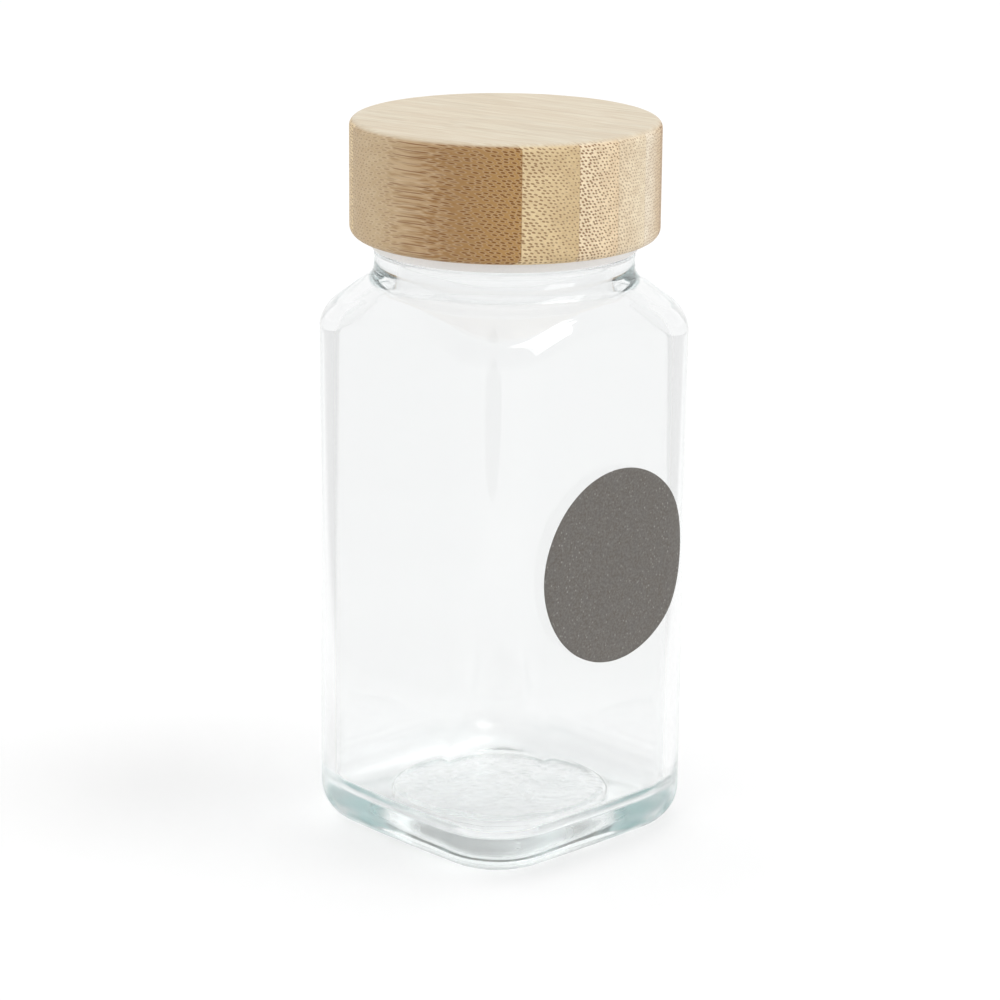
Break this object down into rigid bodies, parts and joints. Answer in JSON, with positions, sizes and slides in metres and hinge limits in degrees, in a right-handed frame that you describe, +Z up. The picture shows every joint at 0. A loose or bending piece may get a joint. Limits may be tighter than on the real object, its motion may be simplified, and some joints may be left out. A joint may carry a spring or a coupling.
{
  "type": "spice jar",
  "caption": "Square clear glass spice jar with rounded corners, a coned shoulder, a round neck, a blank round label and a screw lid of laminated bamboo with a threaded liner and seal.",
  "frame": {"origin": "centre of the base, on the surface that the jar stands on", "axes": "+Z up along the neck's axis; the labelled face looks along -Y"},
  "size_m": [0.046, 0.0461, 0.1092],
  "materials": {
    "clear_glass": "clear polished glass with a faint green tint in thick places",
    "label_film": "matte dark taupe-grey writable sticker",
    "seal_foam": "soft white closed-cell foam",
    "liner_plastic": "natural white moulded plastic",
    "bamboo": "fine-sanded laminated bamboo with a thin clear oil"
  },
  "bodies": {
    "jar": {"glass_jar": "clear_glass", "jar_label": "label_film"},
    "seal": {"seal_disc": "seal_foam"},
    "lid": {"cap_liner": "liner_plastic", "lid_strip_1": "bamboo", "lid_strip_2": "bamboo", "lid_strip_3": "bamboo", "lid_strip_4": "bamboo", "lid_strip_5": "bamboo", "lid_strip_6": "bamboo", "lid_strip_7": "bamboo"}
  },
  "joints": [
    {"name": "lid_lift", "type": "slide", "parent": "jar", "child": "seal", "axis": [0, 0, 1], "range_m": [0, 0.00529]},
    {"name": "lid_turn", "type": "hinge", "parent": "seal", "child": "lid", "pos_m": [0, 0, 0.1], "axis": [0, 0, 1], "range_deg": [0, 450]}
  ],
  "couplings": [
    {"joint": "lid_turn", "follows": "lid_lift", "rad_per_m": 1485.4}
  ]
}
